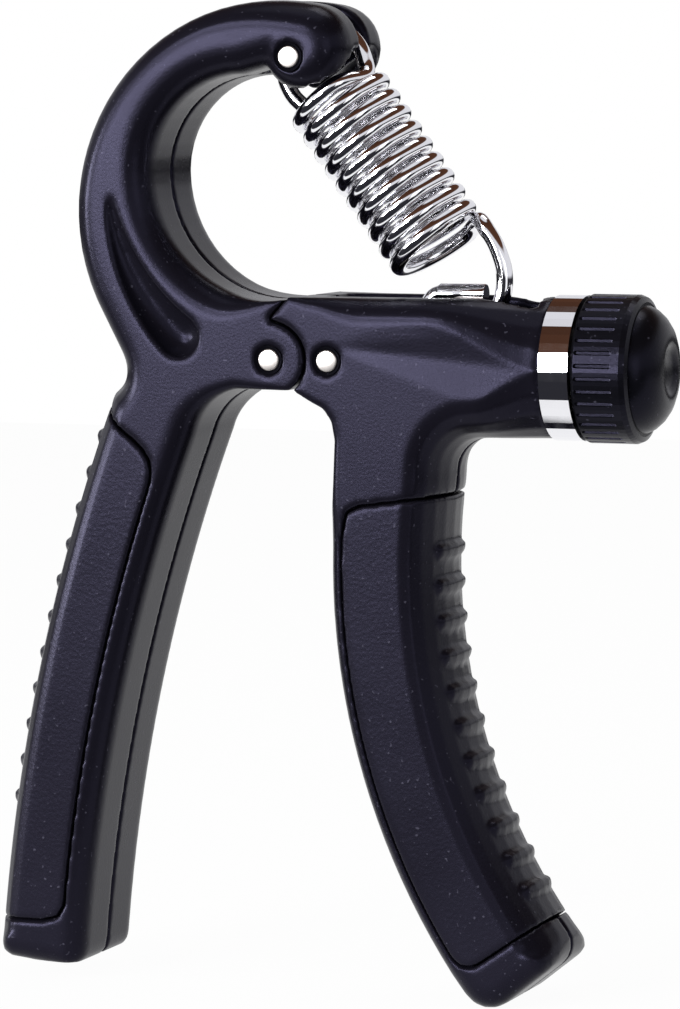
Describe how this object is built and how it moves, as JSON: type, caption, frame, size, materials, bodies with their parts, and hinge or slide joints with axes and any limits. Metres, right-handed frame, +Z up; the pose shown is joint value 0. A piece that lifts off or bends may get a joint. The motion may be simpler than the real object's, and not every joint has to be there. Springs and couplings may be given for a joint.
{
  "type": "adjustable hand gripper",
  "caption": "Hand grip exerciser: C-shaped frame handle, hinged curved handle, extension spring and ribbed tension knob.",
  "frame": {"origin": "centre of the bounding box's underside, on the ground between the two handle tips", "axes": "+Z up from the tips to the bow, +X from the frame handle towards the knob, +Y through the thickness, away from the front"},
  "size_m": [0.1148, 0.0244, 0.1624],
  "materials": {
    "shell_black": "satin moulded",
    "pad_black": "matte",
    "knob_black": "satin",
    "spring_chrome": "polished",
    "pin_steel": "turned",
    "nylon": "natural"
  },
  "bodies": {
    "frame": {"frame_front_shell": "shell_black", "frame_back_shell": "shell_black", "frame_grip_pad": "pad_black", "pivot_pin": "pin_steel", "spring_anchor_pin": "pin_steel", "pivot_washer_front": "nylon", "pivot_washer_back": "nylon", "extension_spring": "spring_chrome"},
    "moving_handle": {"handle_front_shell": "shell_black", "handle_back_shell": "shell_black", "handle_grip_pad": "pad_black", "hinge_plate": "pin_steel", "pivot_bush": "nylon", "hinge_plate_pin": "pin_steel", "chrome_ferrule": "spring_chrome", "screw_tip_bush": "nylon", "screw_sleeve_bush": "nylon", "thrust_washer": "pin_steel"},
    "tension_knob": {"knob_grip": "knob_black", "knob_end_cap": "knob_black", "adjusting_screw": "pin_steel", "knob_lock_nut": "pin_steel"},
    "travelling_nut": {"adjuster_nut": "pin_steel", "spring_hook_pin": "pin_steel"}
  },
  "joints": [
    {"name": "handle_squeeze", "type": "hinge", "parent": "frame", "child": "moving_handle", "pos_m": [-0.00699, 0, 0.1043], "axis": [0, 1, 0], "range_deg": [0, 25], "stiffness_Nm_per_rad": 6, "springref_deg": -20.05, "deforming": ["extension_spring"]},
    {"name": "knob_turn", "type": "hinge", "parent": "moving_handle", "child": "tension_knob", "pos_m": [0.04401, 0, 0.1033], "axis": [1, 0, 0], "range_deg": [-1460, 1460]},
    {"name": "nut_travel", "type": "slide", "parent": "moving_handle", "child": "travelling_nut", "axis": [1, 0, 0], "range_m": [-0.008, 0.008], "deforming": ["extension_spring"]}
  ],
  "couplings": [
    {"joint": "knob_turn", "follows": "nut_travel", "rad_per_m": -3141.6}
  ]
}
